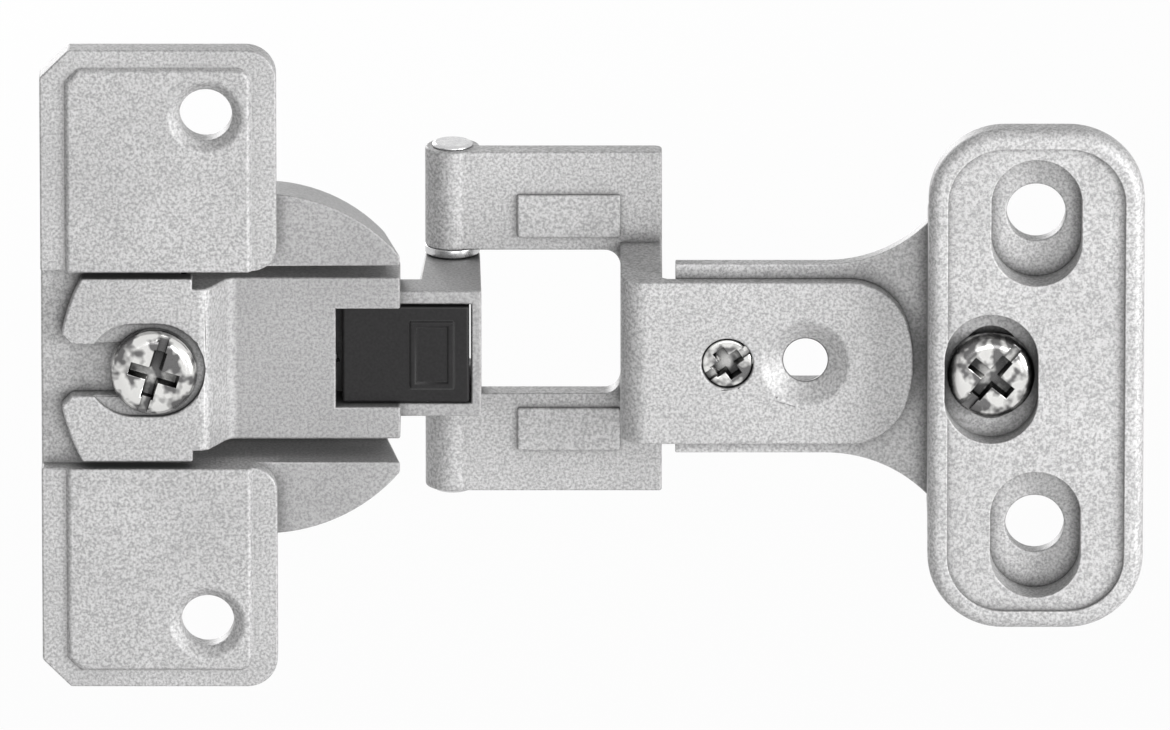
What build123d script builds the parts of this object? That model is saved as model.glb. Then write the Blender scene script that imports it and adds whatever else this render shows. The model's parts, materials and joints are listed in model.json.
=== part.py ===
"""Single-pin concealed cabinet hinge, door opened square to the cabinet side.

X runs along the cabinet side towards its back, Z is up along the pivot pin, and Y points into the
cabinet side. Heights called "level" are measured from the cabinet side's face towards the room, which
is the -Y direction. The origin lies midway between the two fixing holes, on the base plate's back face.
"""

import math
import os

from build123d import *

os.makedirs("parts", exist_ok=True)

# Fits
slide_gap = 0.15  # between castings that slide on each other
turn_gap = 0.05  # radial clearance of a pin or a screw in its bore
side_gap = 0.30  # free play beside a moving piece

# Base plate on the cabinet side
hole_pitch = 32.0
fixing_hole_d = 5.8
base_width = 16.6
base_length = 45.2
base_thickness = 5.0
base_corner = 5.5
hole_web = 2.0  # metal left around each fixing hole, bored out behind it
back_bore_d = 9.0

# Mounting plate: bar over the base plate, neck under the arm
height_travel = 2.0
bar_width = 21.2
bar_length = 51.2
bar_corner = 7.5
bar_top_wall = 4.3
bar_lip = 2.8  # depth of the bar's full outline
body_length = 48.0  # the metal behind the lip
skirt_length = 34.0  # the walls that guide the base plate
skirt_corner = 2.0
bar_edge_round = 1.2
rim_width = 1.9
rim_height = 0.6
slot_width = 8.9
clamp_slot_width = 9.2
clamp_floor = 1.1
clamp_x = -4.4
neck_width = 19.4
neck_thickness = 1.6
flare_length = 10.0
flare_width = 33.0

# Hinge arm
depth_travel = 1.0
tongue_width = 16.6
tongue_thickness = 1.7
tongue_end_gap = 1.1  # from the tongue's end to the bar at rest
tongue_end_radius = 14.0
tongue_corner = 6.0
arm_screw_to_pin = 27.1
lock_hole_to_pin = 34.8
lock_hole_d = 4.4
lock_sink_d = 8.6
lock_sink_angle = 110.0
riser_to_pin = 16.6  # from the pin to the riser's near face
riser_thickness = 4.1
riser_bend = 2.6
riser_inner_bend = 0.8
frame_width = 35.0
frame_thickness = 2.6
frame_drop = 0.26  # from the barrels' crown to the frame's face
fork_width = 14.8
window_corner = 1.6
pad_length = 10.2  # raised pad on each bar of the fork
pad_width = 4.4
pad_margin = 1.4
pad_rise = 0.5

# Pivot
pin_x = -57.4
pin_level = -13.1
pin_d = 3.0
pin_head_d = 4.0
pin_head_thickness = 0.4
pin_flat_depth = 0.4
barrel_d = 5.4
washer_thickness = 0.8

# Door plate and cup
door_level = 2.9  # the door's inner face, when the door stands open
cup_d = 35.0
cup_depth = 9.0
cup_to_pin = 18.6
cup_rim_height = 0.8
cup_flat_to_pin = 5.1
cup_draft = 8.7  # the wall leans in towards the cup's floor
cup_wall = 1.8
plate_width = 23.2
plate_length = 65.4
plate_thickness = 3.2
plate_edge_to_cup = 1.4  # the plate's near edge lies this far past the cup's centre
plate_chamfer = 2.8
plate_corner = 3.0
plate_inner_corner = 2.5  # where the channel leaves the plate's near edge
ledge_width = 2.4  # low border along the plate's two long edges
ledge_end_width = 1.7  # and along its short ends
ledge_drop = 0.5
ledge_slope = 35.0
door_hole_pitch = 52.0
door_hole_to_cup = 5.5
door_hole_d = 5.2
door_sink_d = 7.2
door_sink_angle = 90.0
channel_floor = 0.8
channel_gap = 0.7  # from the leaf's head to the channel's wall

# Door leaf
side_out = 2.0  # how far the door plate can shift away from the pin
side_in = 0.3  # and towards it
head_length = 14.6
head_width = 18.8
head_thickness = 2.0
head_arc = 20.0
head_slot_width = 5.3
head_slot_mouth = 8.0
head_spot_d = 9.4
head_spot_depth = 0.5
head_past_screw = 5.2  # from the clamp screw to the step
strip_width = 16.6
strip_drop = 1.2  # the strip's face below the door's inner face
strip_thickness = 5.8
step_run = 2.2
step_round = 1.4
knuckle_drop = 2.7  # the knuckle's face below the door's inner face
knuckle_front = 2.9  # how far the knuckle reaches past the pin
knuckle_back = 3.2

# Latch block and spring
block_width = 9.8
block_length = 12.5
block_drop = 2.4  # the block's face below the door's inner face
block_depth = 4.2
block_roof = 2.0
block_past_pin = 1.7
nose_thickness = 1.2
latch_travel = 0.5
frame_ridge_length = 7.0  # raised frame on the block's face
frame_ridge_width = 4.4
frame_ridge_line = 0.7
frame_ridge_height = 0.2
frame_ridge_to_end = 1.5
spring_d = 2.8
spring_wire = 0.5
spring_length = 7.6
spring_turns = 6
spring_bore_d = 3.4

# Screws
clamp_thread_d = 4.8
clamp_head_d = 8.6
clamp_head_height = 2.0
clamp_recess = 5.0
leaf_thread_d = 4.2
leaf_head_d = 8.6
leaf_head_height = 1.9
leaf_screw_length = 8.0
leaf_screw_to_pin = 29.3
arm_screw_d = 5.0
arm_screw_recess = 3.2
arm_foot_d = 5.0
arm_foot_thickness = 0.7
arm_waist_d = 3.0
recess_width = 1.3
recess_depth = 1.1
recess_taper = 12.0
driver_slot_width = 0.9
driver_slot_depth = 0.5
clamp_screw_angle = 50.0  # how each screw was left turned
leaf_screw_angle = 73.0
arm_screw_angle = 35.0
clamp_dome = 1.3
leaf_dome = 1.2
arm_screw_dome = 0.3

# Values that follow from the sizes above
bar_left = -bar_width / 2
base_top = base_thickness
cavity_top = base_top + slide_gap
bar_top = cavity_top + bar_top_wall
pad_level = bar_top - rim_height
slot_length = slot_width + 2 * height_travel
clamp_seat = cavity_top + clamp_floor
neck_under = slide_gap
neck_top = neck_under + neck_thickness
tongue_under = neck_top + slide_gap
tongue_top = tongue_under + tongue_thickness
tongue_end = bar_left - tongue_end_gap
riser_left = pin_x + riser_to_pin
riser_right = riser_left + riser_thickness
frame_top = pin_level + barrel_d / 2 - frame_drop
frame_under = frame_top - frame_thickness
arm_screw_x = pin_x + arm_screw_to_pin
lock_hole_x = pin_x + lock_hole_to_pin
knuckle_width = fork_width - 2 * (washer_thickness + slide_gap)
cup_x = pin_x - cup_to_pin
cup_flat_x = pin_x - cup_flat_to_pin
cup_lean = (cup_depth + cup_rim_height) * math.tan(math.radians(cup_draft))
plate_right = cup_x + plate_edge_to_cup
plate_left = plate_right - plate_width
plate_top = door_level + plate_thickness
head_under = door_level + channel_floor + slide_gap
head_top = head_under + head_thickness
leaf_screw_x = pin_x - leaf_screw_to_pin
head_right = leaf_screw_x + head_past_screw
head_left = head_right - head_length
strip_top = door_level - strip_drop
strip_under = strip_top - strip_thickness
strip_left = head_right - head_thickness
strip_floor = strip_under - slide_gap
knuckle_top = door_level - knuckle_drop
block_top = door_level - block_drop
block_right = pin_x + block_past_pin
block_left = block_right - block_length
nose_right = pin_x - pin_d / 2 - turn_gap
nose_left = nose_right - nose_thickness
block_under = block_top - block_depth
nose_bottom = pin_level - pin_d / 2
spring_level = (block_top + block_under) / 2
clamp_head_under = clamp_seat + slide_gap
leaf_head_seat = head_top - head_spot_depth + slide_gap
arm_foot_under = neck_under + slide_gap / 2
side_faces = Plane(origin=(0, 0, 0), x_dir=(1, 0, 0), z_dir=(0, 0, -1))  # X and level


def face(level):
    """The plane at a level, seen from the room: X to the right, Z up, outwards to the room."""
    return Plane.XZ.offset(level)


def edges_along_pin(builder, x, level):
    """The edges of a piece that run along the pin's direction at one X and one level."""
    reach = 0.01
    return (
        builder.edges()
        .filter_by(Axis.Z)
        .filter_by_position(Axis.X, x - reach, x + reach)
        .filter_by_position(Axis.Y, -level - reach, -level + reach)
    )


def export(builder, name):
    """Label one finished piece and write it."""
    builder.part.label = name
    export_step(builder.part, f"parts/{name}.step")


# Base plate
with BuildPart() as base_plate:
    with BuildSketch(face(0)):
        RectangleRounded(base_width, base_length, base_corner)
        with GridLocations(0, hole_pitch, 1, 2):
            Circle(fixing_hole_d / 2, mode=Mode.SUBTRACT)
        with Locations((clamp_x, 0)):
            Circle(clamp_thread_d / 2 + turn_gap, mode=Mode.SUBTRACT)
    extrude(amount=base_top)
    with BuildSketch(face(0)):
        with GridLocations(0, hole_pitch, 1, 2):
            Circle(back_bore_d / 2)
    extrude(amount=base_top - hole_web, mode=Mode.SUBTRACT)
export(base_plate, "base_plate")

# Mounting plate
with BuildPart() as mounting_plate:
    with BuildSketch(face(bar_top - bar_lip)):
        RectangleRounded(bar_width, bar_length, bar_corner)
    extrude(amount=bar_lip)
    fillet(mounting_plate.faces().sort_by(Axis.Y)[0].edges(), bar_edge_round)
    with BuildSketch(face(cavity_top)):
        RectangleRounded(bar_width, body_length, bar_corner)
    extrude(amount=bar_top_wall - bar_lip)
    with BuildSketch(face(neck_under)):
        RectangleRounded(bar_width, skirt_length, skirt_corner)
    extrude(amount=cavity_top - neck_under)
    with BuildSketch(face(neck_under)):
        with BuildLine():
            neck_start = riser_right + depth_travel + side_gap
            flare_start = (bar_left - flare_length, neck_width / 2)
            flare_end = (bar_left + rim_width, flare_width / 2)
            Line((neck_start, 0), (neck_start, neck_width / 2))
            Line((neck_start, neck_width / 2), flare_start)
            TangentArc(flare_start, flare_end, tangent=(1, 0))
            Line(flare_end, (flare_end[0], 0))
            Line((flare_end[0], 0), (neck_start, 0))
        make_face()
        mirror(about=Plane.XZ)
    extrude(amount=neck_thickness)
    with BuildSketch(face(pad_level)):
        RectangleRounded(bar_width - 2 * rim_width, bar_length - 2 * rim_width, bar_corner - rim_width)
    extrude(amount=rim_height, mode=Mode.SUBTRACT)
    with BuildSketch(face(0)):
        RectangleRounded(
            base_width + 2 * slide_gap,
            base_length + 2 * (height_travel + side_gap),
            base_corner,
        )
    extrude(amount=cavity_top, mode=Mode.SUBTRACT)
    with BuildSketch(face(0)):
        with GridLocations(0, hole_pitch, 1, 2):
            SlotOverall(slot_length, slot_width, rotation=90)
        with Locations((clamp_x, 0)):
            SlotOverall(
                clamp_thread_d + 2 * (side_gap + height_travel),
                clamp_thread_d + 2 * side_gap,
                rotation=90,
            )
    extrude(amount=bar_top, mode=Mode.SUBTRACT)
    with BuildSketch(face(clamp_seat)):
        with Locations((clamp_x, 0)):
            SlotOverall(clamp_slot_width + 2 * height_travel, clamp_slot_width, rotation=90)
    extrude(amount=bar_top, mode=Mode.SUBTRACT)
    with BuildSketch(face(0)):
        with Locations((arm_screw_x, 0)):
            SlotOverall(
                arm_waist_d + 2 * (side_gap + depth_travel), arm_waist_d + 2 * side_gap
            )
        with Locations((lock_hole_x, 0)):
            SlotOverall(lock_hole_d + 2 * depth_travel, lock_hole_d)
    extrude(amount=neck_top, mode=Mode.SUBTRACT)
    with BuildSketch(face(0)):
        with Locations((arm_screw_x, 0)):
            SlotOverall(arm_foot_d + 2 * (side_gap + depth_travel), arm_foot_d + 2 * side_gap)
    extrude(amount=neck_under + arm_foot_thickness + slide_gap, mode=Mode.SUBTRACT)
export(mounting_plate, "mounting_plate")

# Hinge arm
with BuildPart() as hinge_arm:
    with BuildSketch(face(tongue_under)):
        with BuildLine():
            shoulder = (tongue_end - tongue_corner / 2, tongue_width / 2)
            Line((riser_left, tongue_width / 2), shoulder)
            RadiusArc(shoulder, (shoulder[0], -tongue_width / 2), tongue_end_radius)
            Line((shoulder[0], -tongue_width / 2), (riser_left, -tongue_width / 2))
            Line((riser_left, -tongue_width / 2), (riser_left, tongue_width / 2))
        make_face()
        fillet(vertices().group_by(Axis.X)[-1], tongue_corner)
    extrude(amount=tongue_thickness)
    with BuildSketch(face(frame_under)):
        with Locations(((riser_left + riser_right) / 2, 0)):
            Rectangle(riser_thickness, tongue_width)
    extrude(amount=tongue_top - frame_under)
    with BuildSketch(face(frame_under)):
        with Locations(((pin_x + riser_right) / 2, 0)):
            Rectangle(riser_right - pin_x, frame_width)
    extrude(amount=frame_thickness)
    with BuildSketch(face(frame_under)):
        with Locations(((pin_x + riser_left) / 2, 0)):
            Rectangle(riser_left - pin_x, fork_width)
        fillet(vertices().group_by(Axis.X)[-1], window_corner)
    extrude(amount=frame_thickness, mode=Mode.SUBTRACT)
    fillet(edges_along_pin(hinge_arm, riser_left, tongue_top), riser_bend)
    fillet(edges_along_pin(hinge_arm, riser_right, tongue_under), riser_inner_bend)
    fillet(edges_along_pin(hinge_arm, riser_right, frame_under), riser_inner_bend)
    with Locations((pin_x, -pin_level, 0)):
        Cylinder(barrel_d / 2, frame_width)
        Cylinder(barrel_d, fork_width, mode=Mode.SUBTRACT)
        Cylinder(pin_d / 2, frame_width, mode=Mode.SUBTRACT)
    with BuildSketch(face(frame_top)):
        with Locations((riser_left - pad_length / 2, 0)):
            with GridLocations(0, fork_width + 2 * pad_margin + pad_width, 1, 2):
                Rectangle(pad_length, pad_width)
    extrude(amount=pad_rise)
    with BuildSketch(face(tongue_under)):
        with Locations((arm_screw_x, 0)):
            Circle(arm_screw_d / 2 + turn_gap)
    extrude(amount=tongue_thickness, mode=Mode.SUBTRACT)
    with Locations(face(tongue_top).location * Location((lock_hole_x, 0, 0))):
        CounterSinkHole(lock_hole_d / 2, lock_sink_d / 2, tongue_thickness, lock_sink_angle)
export(hinge_arm, "hinge_arm")

# Door plate with its cup
with BuildPart() as door_plate:
    with BuildSketch(face(door_level)):
        with Locations(((plate_left + plate_right) / 2, 0)):
            Rectangle(plate_width, plate_length)
        chamfer(vertices().group_by(Axis.X)[0], plate_chamfer)
        fillet(vertices().group_by(Axis.X)[-1], plate_corner)
    extrude(amount=plate_thickness - ledge_drop)
    with BuildSketch(face(plate_top - ledge_drop)):
        with Locations(((plate_left + plate_right) / 2, 0)):
            Rectangle(plate_width - 2 * ledge_width, plate_length - 2 * ledge_end_width)
        chamfer(vertices().group_by(Axis.X)[0], plate_chamfer / 2)
        fillet(vertices().group_by(Axis.X)[-1], plate_corner / 2)
    extrude(amount=ledge_drop, taper=ledge_slope)
    with BuildSketch(face(door_level + cup_rim_height)):
        with Locations((cup_x, 0)):
            Circle(cup_d / 2)
        with Locations((cup_flat_x, 0)):
            Rectangle(cup_d, cup_d, align=(Align.MIN, Align.CENTER), mode=Mode.SUBTRACT)
    extrude(amount=-(cup_depth + cup_rim_height), taper=cup_draft)
    channel_half = head_width / 2 + channel_gap
    with BuildSketch(face(door_level + channel_floor)):
        with Locations((plate_left, 0)):
            Rectangle(plate_width, 2 * channel_half, align=(Align.MIN, Align.CENTER))
    extrude(amount=plate_thickness, mode=Mode.SUBTRACT)
    reach = 0.01
    fillet(
        door_plate.edges().filter_by(Axis.Y)
        .filter_by_position(Axis.X, plate_right - reach, plate_right + reach)
        .filter_by_position(Axis.Z, -channel_half - reach, channel_half + reach),
        plate_inner_corner,
    )
    with BuildSketch(face(strip_floor)):
        with Locations((strip_left - side_in - side_gap, 0)):
            Rectangle(cup_d, 2 * channel_half, align=(Align.MIN, Align.CENTER))
    extrude(amount=cup_depth, mode=Mode.SUBTRACT)
    with BuildSketch(face(door_level - cup_depth)):
        with Locations((cup_x, 0)):
            Circle(cup_d / 2 - cup_lean - cup_wall)
        with Locations((cup_flat_x - cup_lean - cup_wall, 0)):
            Rectangle(cup_d, cup_d, align=(Align.MIN, Align.CENTER), mode=Mode.SUBTRACT)
        with Locations((cup_x, 0)):
            Rectangle(cup_d, 2 * (channel_half + cup_wall), mode=Mode.SUBTRACT)
    extrude(amount=cup_depth + cup_rim_height - cup_wall, mode=Mode.SUBTRACT)
    with BuildSketch(face(door_level - cup_depth)):
        with Locations((leaf_screw_x, 0)):
            Circle(leaf_thread_d / 2 + turn_gap)
    extrude(amount=cup_depth + plate_thickness, mode=Mode.SUBTRACT)
    hole_x = cup_x - door_hole_to_cup
    with Locations(*[face(plate_top).location * Location((hole_x, z, 0))
                     for z in (-door_hole_pitch / 2, door_hole_pitch / 2)]):
        CounterSinkHole(door_hole_d / 2, door_sink_d / 2, plate_thickness, door_sink_angle)
export(door_plate, "door_plate")

# Door leaf
with BuildPart() as door_leaf:
    with BuildSketch(face(head_under)):
        with Locations((head_left, 0)):
            Rectangle(head_length - step_round, head_width, align=(Align.MIN, Align.CENTER))
        with Locations((head_left + head_arc, 0)):
            Circle(head_arc, mode=Mode.INTERSECT)
        with Locations((head_left, 0)):
            Rectangle(
                leaf_screw_x + side_in - head_left, head_slot_width, align=(Align.MIN, Align.CENTER),
                mode=Mode.SUBTRACT,
            )
        with Locations((leaf_screw_x + side_in, 0)):
            Circle(head_slot_width / 2, mode=Mode.SUBTRACT)
        with BuildLine():
            mouth = head_slot_mouth / 2
            throat = head_slot_width / 2
            Polyline(
                (head_left, mouth), (head_left + mouth - throat, throat),
                (head_left + mouth - throat, -throat), (head_left, -mouth), close=True,
            )
        make_face(mode=Mode.SUBTRACT)
    extrude(amount=head_thickness)
    with BuildSketch(side_faces):
        with BuildLine():
            Polyline(
                (strip_left, head_under), (strip_left, head_top), (head_right, head_top),
                (head_right + step_run, strip_top), (cup_flat_x, strip_top),
                (cup_flat_x, strip_under), (strip_left, strip_under), close=True,
            )
        make_face()
        for bend in ((head_right, head_top), (head_right + step_run, strip_top)):
            fillet(vertices().sort_by_distance((*bend, 0))[0], step_round)
    extrude(amount=strip_width / 2, both=True)
    with BuildSketch(face(head_top - head_spot_depth)):
        with Locations((leaf_screw_x + (side_in - side_out) / 2, 0)):
            SlotOverall(head_spot_d + side_in + side_out, head_spot_d)
    extrude(amount=head_spot_depth, mode=Mode.SUBTRACT)
    with BuildSketch(side_faces):
        with BuildLine():
            Polyline(
                (block_left, knuckle_top), (pin_x + knuckle_front, knuckle_top),
                (pin_x + barrel_d / 2, pin_level), (pin_x - barrel_d / 2, pin_level),
                (pin_x - knuckle_back, strip_under), (block_left, strip_under), close=True,
            )
        make_face()
        with Locations((pin_x, pin_level)):
            Circle(barrel_d / 2)
    extrude(amount=knuckle_width / 2, both=True)
    with BuildSketch(side_faces):
        with BuildLine():
            pocket_left = block_left - latch_travel - slide_gap
            deep_left = nose_left - latch_travel - slide_gap
            pocket_right = block_right + slide_gap
            pocket_floor = block_under - slide_gap
            pocket_bottom = pin_level - barrel_d
            Polyline(
                (pocket_left, head_top), (pocket_right, head_top), (pocket_right, pocket_bottom),
                (deep_left, pocket_bottom), (deep_left, pocket_floor), (pocket_left, pocket_floor),
                close=True,
            )
        make_face()
    extrude(amount=block_width / 2 + slide_gap, both=True, mode=Mode.SUBTRACT)
    with BuildSketch(Plane.YZ.offset(pocket_left)):
        with Locations((-spring_level, 0)):
            Circle(spring_bore_d / 2)
    extrude(amount=-(spring_length - latch_travel - slide_gap), mode=Mode.SUBTRACT)
    with Locations((pin_x, -pin_level, 0)):
        Cylinder(pin_d / 2 + turn_gap, frame_width, mode=Mode.SUBTRACT)
export(door_leaf, "door_leaf")

# Latch block
with BuildPart() as latch_block:
    with BuildSketch(side_faces):
        with BuildLine():
            Polyline(
                (block_left, block_top), (block_right, block_top),
                (block_right, block_top - block_roof), (nose_right, block_top - block_depth),
                (nose_right, nose_bottom), (nose_left, nose_bottom), (nose_left, block_under),
                (block_left, block_under), close=True,
            )
        make_face()
    extrude(amount=block_width / 2, both=True)
    with BuildSketch(face(block_top)):
        with Locations((block_right - frame_ridge_to_end - frame_ridge_width / 2, 0)):
            Rectangle(frame_ridge_width, frame_ridge_length)
            Rectangle(
                frame_ridge_width - 2 * frame_ridge_line, frame_ridge_length - 2 * frame_ridge_line,
                mode=Mode.SUBTRACT,
            )
    extrude(amount=frame_ridge_height)
export(latch_block, "latch_block")

# Latch spring
with BuildPart() as latch_spring:
    coil_length = spring_length - 2 * spring_wire
    with BuildLine():
        coil = Helix(
            coil_length / spring_turns,
            coil_length,
            (spring_d - spring_wire) / 2,
            center=(block_left - spring_wire, -spring_level, 0),
            direction=(-1, 0, 0),
        )
    with BuildSketch(Plane(origin=coil @ 0, z_dir=coil % 0)):
        RegularPolygon(spring_wire / 2, 6)
    sweep(path=coil.edges(), is_frenet=True)
export(latch_spring, "latch_spring")

# Pivot pin, with a flat that faces the latch block when the door is shut
with BuildPart() as pivot_pin:
    with Locations((pin_x, -pin_level, 0)):
        Cylinder(pin_d / 2, frame_width)
    for way in (-1, 1):
        with Locations((pin_x, -pin_level, way * (frame_width + pin_head_thickness) / 2)):
            Cylinder(pin_head_d / 2, pin_head_thickness)
    chamfer(pivot_pin.edges().group_by(Axis.Z)[0], pin_head_thickness / 2)
    chamfer(pivot_pin.edges().group_by(Axis.Z)[-1], pin_head_thickness / 2)
    with Locations((pin_x, -pin_level - pin_d / 2 + pin_flat_depth, 0)):
        Box(
            pin_d, pin_d, block_width,
            align=(Align.CENTER, Align.MAX, Align.CENTER), mode=Mode.SUBTRACT,
        )
export(pivot_pin, "pivot_pin")

# Spacer washers
for name, way in (("upper_washer", 1), ("lower_washer", -1)):
    with BuildPart() as washer:
        with Locations((pin_x, -pin_level, way * (fork_width - washer_thickness) / 2)):
            Cylinder(barrel_d / 2, washer_thickness)
            Cylinder(pin_d / 2, washer_thickness, mode=Mode.SUBTRACT)
    export(washer, name)


def cross_screw(x, steps, dome, recess_size, angle):
    """A screw of stacked rounds, each (lower level, upper level, diameter), its head last."""
    with BuildPart() as screw:
        for low, high, diameter in steps:
            with BuildSketch(face(low)):
                with Locations((x, 0)):
                    Circle(diameter / 2)
            extrude(amount=high - low)
        fillet(screw.edges().sort_by(Axis.Y)[0], dome)
        with BuildSketch(face(high)):
            with Locations((x, 0)):
                Rectangle(recess_size, recess_width, rotation=angle)
                Rectangle(recess_width, recess_size, rotation=angle)
        extrude(amount=-recess_depth, taper=recess_taper, mode=Mode.SUBTRACT)
        with BuildSketch(face(high)):
            with Locations((x, 0)):
                Rectangle(diameter, driver_slot_width, rotation=angle)
        extrude(amount=-driver_slot_depth, mode=Mode.SUBTRACT)
    return screw


# Screw that clamps the mounting plate to the base plate
plate_clamp_screw = cross_screw(
    clamp_x,
    [
        (slide_gap, clamp_head_under, clamp_thread_d),
        (clamp_head_under, clamp_head_under + clamp_head_height, clamp_head_d),
    ],
    clamp_dome,
    clamp_recess,
    clamp_screw_angle,
)
export(plate_clamp_screw, "plate_clamp_screw")

# Screw that clamps the leaf in the door plate's channel
leaf_clamp_screw = cross_screw(
    leaf_screw_x,
    [
        (leaf_head_seat - leaf_screw_length, leaf_head_seat, leaf_thread_d),
        (leaf_head_seat, leaf_head_seat + leaf_head_height, leaf_head_d),
    ],
    leaf_dome,
    clamp_recess,
    leaf_screw_angle,
)
export(leaf_clamp_screw, "leaf_clamp_screw")

# Screw in the arm's tongue, its foot held under the neck
arm_screw = cross_screw(
    arm_screw_x,
    [
        (arm_foot_under, arm_foot_under + arm_foot_thickness, arm_foot_d),
        (arm_foot_under + arm_foot_thickness, tongue_under, arm_waist_d),
        (tongue_under, tongue_top - slide_gap, arm_screw_d),
    ],
    arm_screw_dome,
    arm_screw_recess,
    arm_screw_angle,
)
export(arm_screw, "arm_screw")
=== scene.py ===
"""Looks of a one-pin cabinet hinge: satin zinc castings, bright screws and a black latch."""

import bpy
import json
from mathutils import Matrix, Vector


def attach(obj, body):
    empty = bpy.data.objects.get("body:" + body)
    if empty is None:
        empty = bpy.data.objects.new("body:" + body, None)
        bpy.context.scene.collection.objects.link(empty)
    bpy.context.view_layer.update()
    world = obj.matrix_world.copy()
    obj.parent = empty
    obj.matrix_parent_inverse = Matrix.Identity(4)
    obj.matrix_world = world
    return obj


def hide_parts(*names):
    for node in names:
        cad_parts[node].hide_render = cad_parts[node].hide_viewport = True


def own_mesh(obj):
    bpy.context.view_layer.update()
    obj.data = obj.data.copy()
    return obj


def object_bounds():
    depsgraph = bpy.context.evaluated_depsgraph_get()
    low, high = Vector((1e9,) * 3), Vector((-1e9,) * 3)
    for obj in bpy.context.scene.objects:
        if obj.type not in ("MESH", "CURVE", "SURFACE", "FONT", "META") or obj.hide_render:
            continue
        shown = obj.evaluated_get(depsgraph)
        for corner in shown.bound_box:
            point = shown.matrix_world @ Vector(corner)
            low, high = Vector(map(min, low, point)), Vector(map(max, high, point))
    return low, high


bl_info = {
    "name": "Cabinet hinge looks",
    "version": (1, 0, 0),
    "blender": (4, 5, 0),
    "location": "3D View > Sidebar > Hinge",
    "description": "Dresses the castings, screws, pin and latch of a cabinet hinge",
    "category": "Object",
}

import json
import math

import bmesh
import bpy
from bpy.props import FloatProperty, FloatVectorProperty, PointerProperty
from bpy.types import Operator, Panel, PropertyGroup
from mathutils import Vector
from mathutils.bvhtree import BVHTree

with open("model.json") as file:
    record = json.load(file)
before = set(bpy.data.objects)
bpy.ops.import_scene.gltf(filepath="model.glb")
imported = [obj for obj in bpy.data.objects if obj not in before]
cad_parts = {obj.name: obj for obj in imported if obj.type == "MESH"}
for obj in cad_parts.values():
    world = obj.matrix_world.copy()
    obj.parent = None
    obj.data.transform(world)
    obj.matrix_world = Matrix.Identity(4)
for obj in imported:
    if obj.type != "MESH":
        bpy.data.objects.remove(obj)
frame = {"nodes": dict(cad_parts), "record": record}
cad_low, cad_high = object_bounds()

MM = 0.001

# Edges that bend by more than this many degrees are rounded and shaded as edges. The castings have
# a lower limit, so that their countersinks and slopes keep a crisp rim.
CASTING_BEND = 28
FITTING_BEND = 35

WELD = 0.002 * MM  # points closer than this become one
FLAT = math.radians(0.6)  # faces that differ by less than this are merged
ROUND_SHARES = (1, 0.75, 0.55, 0.4, 0.3, 0.2, 0)  # of the rounding, tried in turn
FOLD_SHARE = 0.0005  # of the whole area
PROUD = 0.005 * MM  # how far a point may stand off the solid
DARKENING_FADE = 0.5 * MM  # half the width over which the darkening sets in

CORNER_SHADE_TONE = (0.04, 0.04, 0.04)  # painted shade in the castings' corners and in the gaps between pieces
RECESS_SHADE_TONE = (0.02, 0.02, 0.02)  # painted shade in the screws' recesses
TEXTURE_TONE = (0.035, 0.034, 0.035)  # high points of the moulded plastic
RUBBED_TONE = (0.10, 0.10, 0.10)  # edges of the moulded plastic

FLOOR_TONE = (0.86, 0.86, 0.86, 1)
FLOOR_SIZE = 3.0
FLOOR_GLOW = 0.95  # share of plain white where the floor is background; the rest keeps the shadow
WORLD_LIGHT = 0.25  # strength of the world as a lamp; as background it is 1, white
WHITE = (1, 1, 1, 1)
# Lamp: place seen from the aim, size across, both in metres, and power in watts
LAMPS = {
    "key_lamp": ((0.50, -0.34, 0.06), 0.24, 3.0),
    "fill_lamp": ((0.10, -0.65, 0.06), 0.30, 1.4),
    "back_lamp": ((-0.25, 0.60, 0.15), 0.30, 2.2),
}

BODY_OF = {
    node: body for body, nodes in frame["record"]["behaviour"]["bodies"].items() for node in nodes
}


class CastingSettings(PropertyGroup):
    """Finish of the zinc castings."""

    tone: FloatVectorProperty(
        name="Tone", description="Colour of the plated casting", subtype="COLOR",
        default=(0.64, 0.637, 0.638), min=0, max=1,
    )
    grain_tone: FloatVectorProperty(
        name="Grain tone", description="Colour of the darker specks in the grain", subtype="COLOR",
        default=(0.22, 0.218, 0.22), min=0, max=1,
    )
    worn_tone: FloatVectorProperty(
        name="Worn tone", description="Colour of edges rubbed bright", subtype="COLOR",
        default=(0.86, 0.855, 0.85), min=0, max=1,
    )
    grain_size: FloatProperty(
        name="Grain size", description="Size of one speck of the blasted surface",
        subtype="DISTANCE", default=0.28 * MM, min=0.05 * MM, max=5 * MM,
    )
    # The settings below make the cup and the leaf's strip darker past a place along X and behind a
    # depth along Y.
    darkening_share: FloatProperty(
        name="Skin share", description="How dull the cup and the leaf's strip are",
        subtype="FACTOR", default=0.42, min=0, max=1,
    )
    cup_start: FloatProperty(
        name="Cup start", description="Where the duller cup leaves the door plate, along X",
        subtype="DISTANCE", default=-74.6 * MM,
    )
    darkening_depth: FloatProperty(
        name="Skin level", description="Depth behind which the leaf and the cup are dull all over",
        subtype="DISTANCE", default=-2.0 * MM,
    )
    strip_start: FloatProperty(
        name="Strip start", description="Where the leaf's duller strip begins, along X",
        subtype="DISTANCE", default=-79.0 * MM,
    )
    edge_round: FloatProperty(
        name="Edge round", description="Radius of the rounded casting edges", subtype="DISTANCE",
        default=0.22 * MM, min=0, max=1 * MM,
    )


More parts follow.
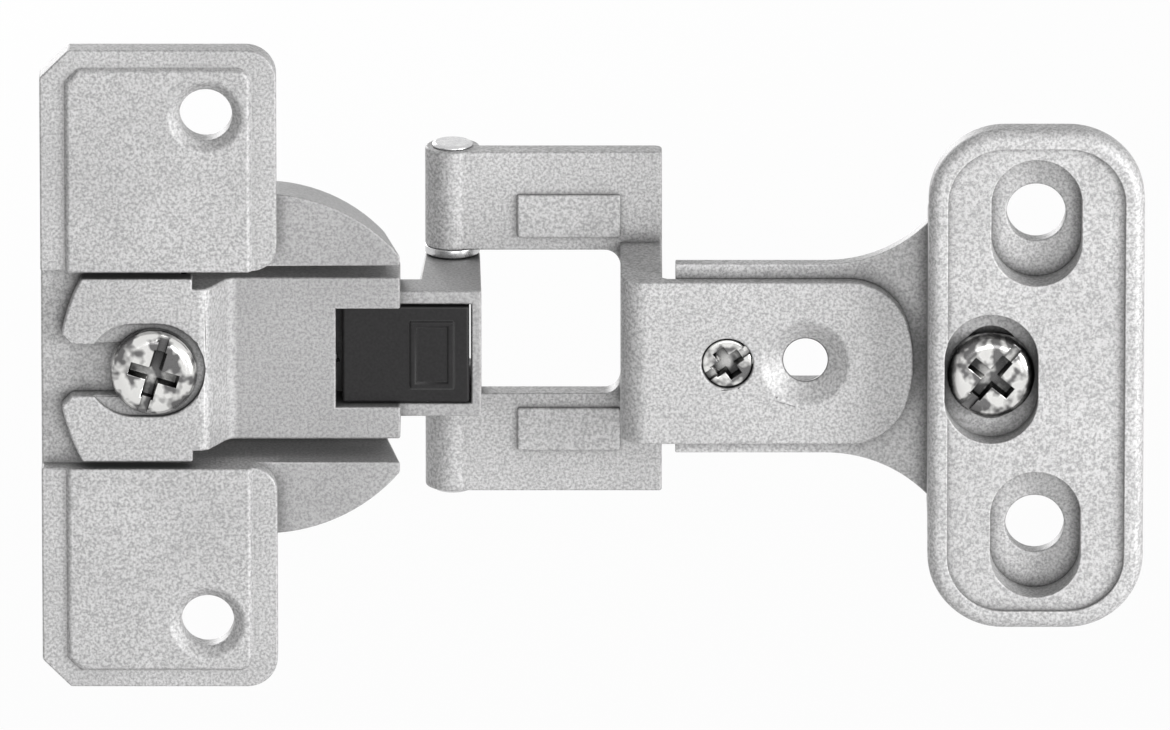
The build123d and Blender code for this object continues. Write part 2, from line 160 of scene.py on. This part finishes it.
class FittingSettings(PropertyGroup):
    """Finish of the screws, pin, washers and spring."""

    screw_tone: FloatVectorProperty(
        name="Screw tone", description="Colour of the bright plating on the screws",
        subtype="COLOR", default=(0.74, 0.735, 0.72), min=0, max=1,
    )
    # Colour of the painted dark reflections on the screws, laid on in patches.
    dark_reflection_tone: FloatVectorProperty(
        name="Patch tone", description="Colour of the worn, darkened patches on the screws",
        subtype="COLOR", default=(0.10, 0.098, 0.10), min=0, max=1,
    )
    steel_tone: FloatVectorProperty(
        name="Steel tone", description="Colour of the bare steel pin, washers and spring",
        subtype="COLOR", default=(0.55, 0.55, 0.56), min=0, max=1,
    )
    edge_round: FloatProperty(
        name="Edge round", description="Radius of the edges of small fittings", subtype="DISTANCE",
        default=0.08 * MM, min=0, max=0.5 * MM,
    )


class LatchSettings(PropertyGroup):
    """Finish of the latch block."""

    tone: FloatVectorProperty(
        name="Tone", description="Colour of the moulded plastic", subtype="COLOR",
        default=(0.012, 0.0115, 0.012), min=0, max=1,
    )
    edge_round: FloatProperty(
        name="Edge round", description="Radius of the block's edges", subtype="DISTANCE",
        default=0.25 * MM, min=0, max=1 * MM,
    )


class StageSettings(PropertyGroup):
    """Floor, lamps and camera."""

    floor_drop: FloatProperty(
        name="Floor drop", description="Height of the hinge's lowest edge above the floor",
        subtype="DISTANCE", default=45 * MM, min=0, max=1,
    )
    elevation: FloatProperty(
        name="Elevation", description="Height of the camera above the horizon", subtype="ANGLE",
        default=math.radians(17), min=0, max=math.pi / 2,
    )
    distance: FloatProperty(
        name="Distance", description="From the camera to the hinge", subtype="DISTANCE",
        default=2.6, min=0.1, max=5,
    )
    view_width: FloatProperty(
        name="View width", description="Width of the picture at the hinge", subtype="DISTANCE",
        default=115.3 * MM, min=0.01, max=1,
    )
    aim: FloatVectorProperty(
        name="Aim", description="Point in the middle of the picture", subtype="XYZ", unit="LENGTH",
        default=(-44.3 * MM, 0, -1.2 * MM),
    )


def folds(work):
    """Whether faces cross themselves: cut into triangles, such faces change their area."""
    whole = sum(face.calc_area() for face in work.faces)
    cut = work.copy()
    bmesh.ops.triangulate(cut, faces=cut.faces[:])
    pieces = sum(face.calc_area() for face in cut.faces)
    cut.free()
    return abs(pieces - whole) > FOLD_SHARE * whole


def settle(work, skin):
    """Points that the rounding pushed out past the solid's skin go back onto it."""
    for point in work.verts:
        place, outward, _, far = skin.find_nearest(point.co)
        if far > PROUD and (point.co - place).dot(outward) > 0:
            point.co = place


def rounded(mesh, edge_round, bend):
    """The mesh welded, its flat faces merged and its edges rounded as far as no face folds."""
    whole = bmesh.new()
    whole.from_mesh(mesh)
    skin = BVHTree.FromBMesh(whole)
    whole.free()
    for share in ROUND_SHARES:
        work = bmesh.new()
        work.from_mesh(mesh)
        bmesh.ops.remove_doubles(work, verts=work.verts, dist=WELD)
        bmesh.ops.dissolve_limit(work, angle_limit=FLAT, verts=work.verts, edges=work.edges)
        sharp = [
            edge for edge in work.edges
            if edge.is_manifold and edge.is_convex and edge.calc_face_angle(0) > math.radians(bend)
        ]
        if not sharp or share * edge_round == 0:
            return work
        bmesh.ops.bevel(
            work, geom=sharp, offset=share * edge_round, offset_type="OFFSET", segments=3,
            profile=0.5, affect="EDGES", clamp_overlap=False, loop_slide=True, material=-1,
        )
        settle(work, skin)
        if not folds(work):
            return work
        work.free()


def dress(node, material, edge_round, bend=FITTING_BEND):
    """A copy of one CAD node with welded faces and rounded edges, riding on the node's body."""
    mesh = frame["nodes"][node].data.copy()
    mesh.name = f"{node}_looks"
    mesh.materials.clear()
    piece = bpy.data.objects.new(f"{node}_looks", mesh)
    bpy.context.scene.collection.objects.link(piece)
    work = rounded(mesh, edge_round, bend)
    work.to_mesh(mesh)
    work.free()
    for polygon in mesh.polygons:
        polygon.use_smooth = True
    mesh.set_sharp_from_angle(angle=math.radians(bend))
    even = piece.modifiers.new("even shading", "WEIGHTED_NORMAL")
    even.keep_sharp = True
    mesh.materials.append(material)
    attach(piece, BODY_OF[node])
    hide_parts(node)
    return piece


class Finish:
    """One node-based material and short ways to add nodes to it."""

    def __init__(self, name):
        self.material = bpy.data.materials.new(name)
        self.material.use_nodes = True
        tree = self.material.node_tree
        self.nodes = tree.nodes
        self.links = tree.links
        self.shader = tree.nodes["Principled BSDF"]
        self.place = self.nodes.new("ShaderNodeTexCoord").outputs["Object"]

    def noise(self, size, detail, roughness):
        """Noise whose lumps are about one size across, in metres."""
        node = self.nodes.new("ShaderNodeTexNoise")
        node.inputs["Scale"].default_value = 1 / size
        node.inputs["Detail"].default_value = detail
        node.inputs["Roughness"].default_value = roughness
        self.links.new(self.place, node.inputs["Vector"])
        return node.outputs["Fac"]

    def past(self, axis, start, share):
        """0 before a place along an axis and a given share after it."""
        node = self.nodes.new("ShaderNodeSeparateXYZ")
        self.links.new(self.place, node.inputs[0])
        return self.spread(node.outputs[axis], start - DARKENING_FADE, start + DARKENING_FADE, 0.0, share)

    def larger(self, first, second):
        """The larger of two values."""
        node = self.nodes.new("ShaderNodeMath")
        node.operation = "MAXIMUM"
        self.links.new(first, node.inputs[0])
        self.links.new(second, node.inputs[1])
        return node.outputs[0]

    def spread(self, value, low, high, to_low=0.0, to_high=1.0):
        """Stretches a value from one range to another, held at its ends."""
        node = self.nodes.new("ShaderNodeMapRange")
        node.inputs["From Min"].default_value = low
        node.inputs["From Max"].default_value = high
        node.inputs["To Min"].default_value = to_low
        node.inputs["To Max"].default_value = to_high
        self.links.new(value, node.inputs["Value"])
        return node.outputs["Result"]

    def blend(self, share, first, second):
        """Mixes two colours by a node's output, each a plain colour or another node's output."""
        node = self.nodes.new("ShaderNodeMix")
        node.data_type = "RGBA"
        for socket, colour in ((node.inputs[6], first), (node.inputs[7], second)):
            if isinstance(colour, bpy.types.NodeSocket):
                self.links.new(colour, socket)
            else:
                socket.default_value = (*colour, 1)
        self.links.new(share, node.inputs[0])
        return node.outputs[2]

    def edges(self, radius):
        """1 where an edge lies within the radius, 0 on flat metal."""
        soft = self.nodes.new("ShaderNodeBevel")
        soft.samples = 6
        soft.inputs["Radius"].default_value = radius
        true = self.nodes.new("ShaderNodeNewGeometry")
        dot = self.nodes.new("ShaderNodeVectorMath")
        dot.operation = "DOT_PRODUCT"
        self.links.new(soft.outputs["Normal"], dot.inputs[0])
        self.links.new(true.outputs["Normal"], dot.inputs[1])
        return self.spread(dot.outputs["Value"], 0.985, 0.90)

    def corners(self, reach):
        """1 in the open, falling to 0 deep in a corner or a gap between pieces."""
        node = self.nodes.new("ShaderNodeAmbientOcclusion")
        node.samples = 8
        node.inputs["Distance"].default_value = reach
        return node.outputs["AO"]

    def bump(self, height, depth, strength, after=None):
        """Raises the surface by a height of a given depth in metres."""
        node = self.nodes.new("ShaderNodeBump")
        node.inputs["Strength"].default_value = strength
        node.inputs["Distance"].default_value = depth
        self.links.new(height, node.inputs["Height"])
        if after is not None:
            self.links.new(after, node.inputs["Normal"])
        return node.outputs["Normal"]

    def put(self, name, value):
        """Feeds a shader socket from a node, or sets it."""
        socket = self.shader.inputs[name]
        if isinstance(value, bpy.types.NodeSocket):
            self.links.new(value, socket)
        else:
            socket.default_value = value


def casting_finish(settings, name="cast_metal_looks", darken_from=None):
    """Satin plated zinc with a speckled grain, bright where edges rub, with painted shade in
    corners and in the gaps between pieces.
    """
    finish = Finish(name)
    size = settings.grain_size
    speck = finish.noise(size, 3.0, 0.65)
    cloud = finish.noise(9 * MM, 2.0, 0.5)
    specks = finish.spread(speck, 0.60, 0.38, 0.0, 0.72)
    colour = finish.blend(specks, settings.tone, settings.grain_tone)
    colour = finish.blend(
        finish.spread(cloud, 0.35, 0.7, 0.0, 0.18), colour, settings.grain_tone
    )
    # Darker past a place along X and behind a depth along Y, on the cup and the leaf's strip.
    if darken_from is not None:
        skin = finish.larger(
            finish.past("X", darken_from, settings.darkening_share),
            finish.past("Y", settings.darkening_depth, settings.darkening_share),
        )
        colour = finish.blend(skin, colour, settings.grain_tone)
    colour = finish.blend(
        finish.spread(finish.edges(0.3 * MM), 0.0, 1.0, 0.0, 0.35), colour, settings.worn_tone
    )
    # Painted shade: the colour turns dark in corners and in the gaps between pieces, by ambient
    # occlusion.
    colour = finish.blend(
        finish.spread(finish.corners(1.8 * MM), 0.30, 0.92, 0.9, 0.0), colour, CORNER_SHADE_TONE
    )
    finish.put("Base Color", colour)
    finish.put("Metallic", 0.35)
    finish.put("Roughness", finish.spread(speck, 0.3, 0.7, 0.50, 0.64))
    pits = finish.bump(finish.noise(size * 1.7, 3.0, 0.6), 0.05 * MM, 0.5)
    finish.put("Normal", finish.bump(speck, 0.03 * MM, 0.35, pits))
    return finish.material


def screw_finish(settings):
    """Bright zinc plating with a fine texture, painted dark reflections in patches and painted
    shade in its recesses.
    """
    finish = Finish("plated_screw_looks")
    dull = finish.noise(1.7 * MM, 2.0, 0.5)
    fine = finish.noise(0.12 * MM, 2.0, 0.5)
    # Painted dark reflections: the bright plating turns dark in the patches where the dull noise
    # is high.
    colour = finish.blend(
        finish.spread(dull, 0.44, 0.56, 0.0, 0.93), settings.screw_tone, settings.dark_reflection_tone
    )
    # Painted shade: the colour turns dark in the screws' recesses, by ambient occlusion.
    colour = finish.blend(
        finish.spread(finish.corners(1.6 * MM), 0.40, 0.92, 0.92, 0.0), colour, RECESS_SHADE_TONE
    )
    finish.put("Base Color", colour)
    finish.put("Metallic", 1.0)
    finish.put("Roughness", finish.spread(dull, 0.3, 0.7, 0.16, 0.30))
    finish.put("Normal", finish.bump(fine, 0.006 * MM, 0.3))
    return finish.material


def steel_finish(settings):
    """Plain drawn steel with a fine shimmer."""
    finish = Finish("bright_steel_looks")
    drawn = finish.noise(0.5 * MM, 4.0, 0.6)
    colour = finish.blend(
        finish.spread(drawn, 0.35, 0.7, 0.0, 0.5), settings.steel_tone, settings.screw_tone
    )
    finish.put("Base Color", colour)
    finish.put("Metallic", 1.0)
    finish.put("Roughness", finish.spread(drawn, 0.3, 0.7, 0.22, 0.36))
    finish.put("Normal", finish.bump(drawn, 0.01 * MM, 0.25))
    return finish.material


def plastic_finish(settings):
    """Black moulded plastic with a fine spark-eroded texture and rubbed edges."""
    finish = Finish("black_plastic_looks")
    texture = finish.noise(0.28 * MM, 2.0, 0.5)
    rubbed = finish.spread(finish.edges(0.3 * MM), 0.0, 1.0, 0.0, 0.45)
    colour = finish.blend(
        finish.spread(texture, 0.3, 0.7, 0.0, 0.35), settings.tone, TEXTURE_TONE
    )
    finish.put("Base Color", finish.blend(rubbed, colour, RUBBED_TONE))
    finish.put("Roughness", finish.spread(texture, 0.3, 0.7, 0.42, 0.56))
    finish.put("Specular IOR Level", 0.22)
    finish.put("Normal", finish.bump(texture, 0.02 * MM, 0.35))
    return finish.material


class HINGE_OT_castings(Operator):
    """Dress the base plate, mounting plate, arm, leaf and door plate"""

    bl_idname = "hinge.castings"
    bl_label = "Castings"

    def execute(self, context):
        settings = context.scene.hinge_casting
        material = casting_finish(settings)
        for node in ("base_plate", "mounting_plate", "hinge_arm"):
            dress(node, material, settings.edge_round, CASTING_BEND)
        starts = {"door_leaf": settings.strip_start, "door_plate": settings.cup_start}
        for node, start in starts.items():
            material = casting_finish(settings, f"{node}_cast_looks", start)
            dress(node, material, settings.edge_round, CASTING_BEND)
        return {"FINISHED"}


class HINGE_OT_screws(Operator):
    """Dress the clamp screws and the screw in the arm"""

    bl_idname = "hinge.screws"
    bl_label = "Screws"

    def execute(self, context):
        settings = context.scene.hinge_fitting
        material = screw_finish(settings)
        for node in ("plate_clamp_screw", "leaf_clamp_screw", "arm_screw"):
            dress(node, material, settings.edge_round)
        return {"FINISHED"}


class HINGE_OT_pivot(Operator):
    """Dress the pivot pin and its washers"""

    bl_idname = "hinge.pivot"
    bl_label = "Pivot"

    def execute(self, context):
        settings = context.scene.hinge_fitting
        material = steel_finish(settings)
        for node in ("pivot_pin", "upper_washer", "lower_washer"):
            dress(node, material, settings.edge_round)
        return {"FINISHED"}


class HINGE_OT_latch(Operator):
    """Dress the latch block and its spring"""

    bl_idname = "hinge.latch"
    bl_label = "Latch"

    def execute(self, context):
        settings = context.scene.hinge_latch
        dress("latch_block", plastic_finish(settings), settings.edge_round)
        spring = dress("latch_spring", steel_finish(context.scene.hinge_fitting), 0)
        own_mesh(spring)
        return {"FINISHED"}


def white_to_the_eye(nodes, links):
    """1 for the rays that show the background: camera, glossy and transmission rays."""
    path = nodes.new("ShaderNodeLightPath")
    total = path.outputs["Is Camera Ray"]
    for ray in ("Is Glossy Ray", "Is Transmission Ray"):
        more = nodes.new("ShaderNodeMath")
        more.operation = "MAXIMUM"
        links.new(total, more.inputs[0])
        links.new(path.outputs[ray], more.inputs[1])
        total = more.outputs[0]
    return total


def area_lamp(name, place, aim, size, power):
    """A soft square lamp that faces a point."""
    lamp = bpy.data.lights.new(name, "AREA")
    lamp.size = size
    lamp.energy = power
    thing = bpy.data.objects.new(name, lamp)
    thing.location = place
    thing.rotation_euler = (Vector(aim) - Vector(place)).to_track_quat("-Z", "Y").to_euler()
    bpy.context.scene.collection.objects.link(thing)


class HINGE_OT_stage(Operator):
    """Set up the floor, the lamps, the white background and the camera"""

    bl_idname = "hinge.stage"
    bl_label = "Stage"

    def execute(self, context):
        settings = context.scene.hinge_stage
        scene = context.scene
        scene.view_settings.view_transform = "Standard"
        aim = Vector(settings.aim)

        mesh = bpy.data.meshes.new("floor")
        work = bmesh.new()
        bmesh.ops.create_grid(work, x_segments=2, y_segments=2, size=FLOOR_SIZE)
        work.to_mesh(mesh)
        work.free()
        floor = bpy.data.objects.new("floor", mesh)
        floor.location = (aim.x, 0, cad_low[2] - settings.floor_drop)
        scene.collection.objects.link(floor)
        pale = bpy.data.materials.new("pale_floor")
        pale.use_nodes = True
        nodes, links = pale.node_tree.nodes, pale.node_tree.links
        nodes.clear()
        paint = nodes.new("ShaderNodeBsdfDiffuse")
        paint.inputs["Color"].default_value = FLOOR_TONE
        glow = nodes.new("ShaderNodeEmission")
        glow.inputs["Color"].default_value = WHITE
        share = nodes.new("ShaderNodeMath")
        share.operation = "MULTIPLY"
        share.inputs[1].default_value = FLOOR_GLOW
        links.new(white_to_the_eye(nodes, links), share.inputs[0])
        both = nodes.new("ShaderNodeMixShader")
        links.new(share.outputs[0], both.inputs[0])
        links.new(paint.outputs[0], both.inputs[1])
        links.new(glow.outputs[0], both.inputs[2])
        end = nodes.new("ShaderNodeOutputMaterial")
        links.new(both.outputs[0], end.inputs["Surface"])
        mesh.materials.append(pale)

        world = bpy.data.worlds.new("white_studio")
        scene.world = world
        world.use_nodes = True
        nodes, links = world.node_tree.nodes, world.node_tree.links
        nodes.clear()
        level = nodes.new("ShaderNodeMapRange")
        level.inputs["To Min"].default_value = WORLD_LIGHT
        level.inputs["To Max"].default_value = 1.0
        links.new(white_to_the_eye(nodes, links), level.inputs["Value"])
        sky = nodes.new("ShaderNodeBackground")
        sky.inputs["Color"].default_value = WHITE
        links.new(level.outputs["Result"], sky.inputs["Strength"])
        end = nodes.new("ShaderNodeOutputWorld")
        links.new(sky.outputs[0], end.inputs["Surface"])

        for name, (place, size, power) in LAMPS.items():
            area_lamp(name, aim + Vector(place), aim, size, power)

        lens = bpy.data.cameras.new("photo_camera")
        lens.sensor_width = 36
        lens.lens = lens.sensor_width * settings.distance / settings.view_width
        lens.clip_start = 0.01
        lens.clip_end = 20
        camera = bpy.data.objects.new("photo_camera", lens)
        rise = settings.elevation
        camera.location = aim + settings.distance * Vector((0, -math.cos(rise), math.sin(rise)))
        camera.rotation_euler = (math.pi / 2 - rise, 0, 0)
        scene.collection.objects.link(camera)
        scene.camera = camera
        return {"FINISHED"}


class HINGE_PT_looks(Panel):
    """Lists the steps and the settings of the hinge's looks"""

    bl_idname = "HINGE_PT_looks"
    bl_label = "Cabinet hinge"
    bl_space_type = "VIEW_3D"
    bl_region_type = "UI"
    bl_category = "Hinge"

    def draw(self, context):
        for operator, group in (
            (HINGE_OT_castings, "hinge_casting"),
            (HINGE_OT_screws, "hinge_fitting"),
            (HINGE_OT_pivot, None),
            (HINGE_OT_latch, "hinge_latch"),
            (HINGE_OT_stage, "hinge_stage"),
        ):
            column = self.layout.column()
            column.operator(operator.bl_idname)
            if group:
                settings = getattr(context.scene, group)
                for name in settings.__annotations__:
                    column.prop(settings, name)


CLASSES = (
    CastingSettings, FittingSettings, LatchSettings, StageSettings,
    HINGE_OT_castings, HINGE_OT_screws, HINGE_OT_pivot, HINGE_OT_latch, HINGE_OT_stage,
    HINGE_PT_looks,
)


def register():
    for cls in CLASSES:
        bpy.utils.register_class(cls)
    bpy.types.Scene.hinge_casting = PointerProperty(type=CastingSettings)
    bpy.types.Scene.hinge_fitting = PointerProperty(type=FittingSettings)
    bpy.types.Scene.hinge_latch = PointerProperty(type=LatchSettings)
    bpy.types.Scene.hinge_stage = PointerProperty(type=StageSettings)


def unregister():
    for name in ("hinge_casting", "hinge_fitting", "hinge_latch", "hinge_stage"):
        delattr(bpy.types.Scene, name)
    for cls in reversed(CLASSES):
        bpy.utils.unregister_class(cls)


def main():
    register()
    bpy.ops.hinge.castings()
    bpy.ops.hinge.screws()
    bpy.ops.hinge.pivot()
    bpy.ops.hinge.latch()
    bpy.ops.hinge.stage()
    bpy.context.view_layer.update()


if __name__ == "__main__":
    main()
